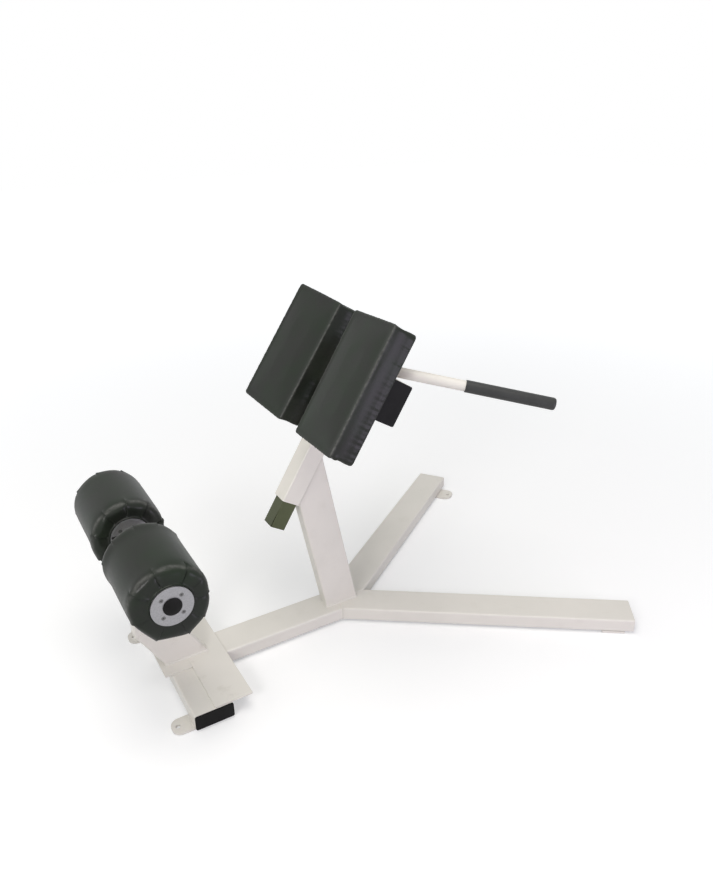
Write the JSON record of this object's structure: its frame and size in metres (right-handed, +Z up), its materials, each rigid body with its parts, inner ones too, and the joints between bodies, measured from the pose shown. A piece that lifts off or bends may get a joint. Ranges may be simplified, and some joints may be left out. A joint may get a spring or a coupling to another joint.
{
  "type": "hyperextension bench",
  "caption": "Back-extension bench: a Y-shaped steel base, a leaning arm with padded ankle rollers, and a height-adjustable carriage with split thigh pads and swept-back handles.",
  "frame": {"origin": "on the floor, at the centre of the footprint of the whole bench", "axes": "+X runs along the base from the ankle rollers towards the splayed legs, +Y is to the left of a user who faces along +X, +Z is up; the bench is mirror-symmetric about the XZ plane"},
  "size_m": [1.3772, 1.0918, 0.9456],
  "materials": {
    "white_powder_coat": "warm white powder coat, semi-gloss",
    "black_plastic": "black moulded plastic",
    "grey_plastic": "grey moulded plastic",
    "core_plastic": "dark moulded tube under the foam",
    "ivory_nylon": "natural nylon",
    "dark_vinyl": "dark green-grey vinyl over foam, fine grain",
    "cast_aluminium": "turned and lightly brushed",
    "zinc_steel": "zinc plated",
    "black_steel": "black oxide",
    "chrome": "polished chrome plate",
    "plywood": "bare plywood",
    "black_rubber": "black rubber grip"
  },
  "bodies": {
    "frame": {"foot_beam": "white_powder_coat", "foot_beam_caps": "black_plastic", "spine": "white_powder_coat", "right_leg": "white_powder_coat", "left_leg": "white_powder_coat", "leg_end_plugs": "grey_plastic", "foot_anchor_plates": "white_powder_coat", "leg_anchor_plates": "white_powder_coat", "foot_plate": "white_powder_coat", "arm_base_plate": "white_powder_coat", "roller_arm_lower": "white_powder_coat", "roller_arm_upper": "white_powder_coat", "arm_top_cap": "black_plastic", "axle_boss": "zinc_steel", "axle": "zinc_steel", "axle_set_screws": "black_steel", "axle_spacers": "zinc_steel", "axle_washers": "zinc_steel", "axle_bolts": "black_steel", "upright": "white_powder_coat", "sleeve": "white_powder_coat", "sleeve_liners": "grey_plastic", "pin_barrel": "zinc_steel"},
    "right_roller": {"right_roller_core": "core_plastic", "right_roller_cover": "dark_vinyl", "right_roller_flanges": "cast_aluminium", "right_flange_screws": "black_steel", "right_roller_bushes": "ivory_nylon", "right_hub_cap": "black_plastic"},
    "left_roller": {"left_roller_core": "core_plastic", "left_roller_cover": "dark_vinyl", "left_roller_flanges": "cast_aluminium", "left_flange_screws": "black_steel", "left_roller_bushes": "ivory_nylon", "left_hub_cap": "black_plastic"},
    "lock_pin": {"locking_pin": "zinc_steel", "pin_knob": "black_plastic"},
    "carriage": {"inner_tube": "chrome", "inner_tube_plug": "black_plastic", "cross_beam": "white_powder_coat", "cross_beam_caps": "black_plastic", "pad_ribs": "white_powder_coat", "pad_plates": "white_powder_coat", "pad_bolts": "zinc_steel", "pad_washers": "zinc_steel", "tee_nuts": "zinc_steel", "right_pad_board": "plywood", "left_pad_board": "plywood", "right_pad_cushion": "dark_vinyl", "left_pad_cushion": "dark_vinyl", "right_handle_bar": "white_powder_coat", "left_handle_bar": "white_powder_coat", "right_grip": "black_rubber", "left_grip": "black_rubber"}
  },
  "joints": [
    {"name": "right_roller_spin", "type": "hinge", "parent": "frame", "child": "right_roller", "pos_m": [-0.59757, -0.1675, 0.422], "axis": [0, 1, 0], "continuous": true},
    {"name": "left_roller_spin", "type": "hinge", "parent": "frame", "child": "left_roller", "pos_m": [-0.59757, 0.1675, 0.422], "axis": [0, 1, 0], "continuous": true},
    {"name": "carriage_slide", "type": "slide", "parent": "frame", "child": "carriage", "axis": [0.5284, 0, 0.849], "range_m": [-0.06, 0.06]},
    {"name": "lock_pin_slide", "type": "slide", "parent": "frame", "child": "lock_pin", "axis": [0.849, 0, -0.5284], "range_m": [-0.0155, 0]}
  ]
}
